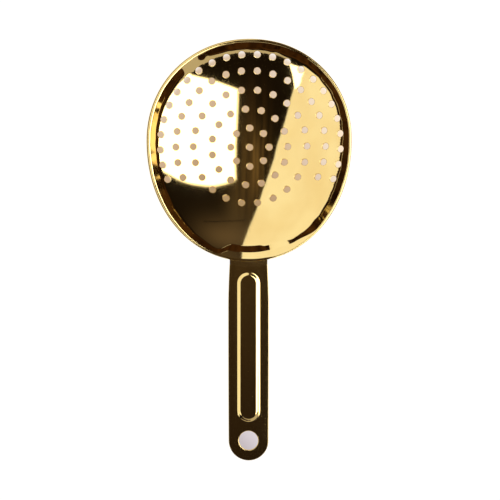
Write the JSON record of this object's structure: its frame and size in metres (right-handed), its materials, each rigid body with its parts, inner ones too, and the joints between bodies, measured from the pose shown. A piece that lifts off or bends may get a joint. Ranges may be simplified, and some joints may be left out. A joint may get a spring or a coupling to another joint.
{
  "type": "julep strainer",
  "caption": "Julep strainer: shallow concave perforated sheet-metal bowl with a turned-out rim and a flat strap handle with a raised bead and a hanging hole.",
  "frame": {"origin": "bottom centre of the bounding box: on the centre line, halfway along the length, level with the bowl's lowest point", "axes": "+Z out of the bowl's open side, -Y along the handle, +X to the right when the open side faces the viewer with the handle down"},
  "size_m": [0.078, 0.16, 0.0119],
  "materials": {
    "gold_bowl": "polished gold-coloured plating on sheet steel",
    "gold_strap": "polished gold-coloured plating on sheet steel",
    "gold_braze": "dressed braze filler under the same plating"
  },
  "bodies": {
    "root": {"strainer_bowl": "gold_bowl", "handle_strap": "gold_strap", "braze_fillet": "gold_braze"}
  },
  "joints": []
}
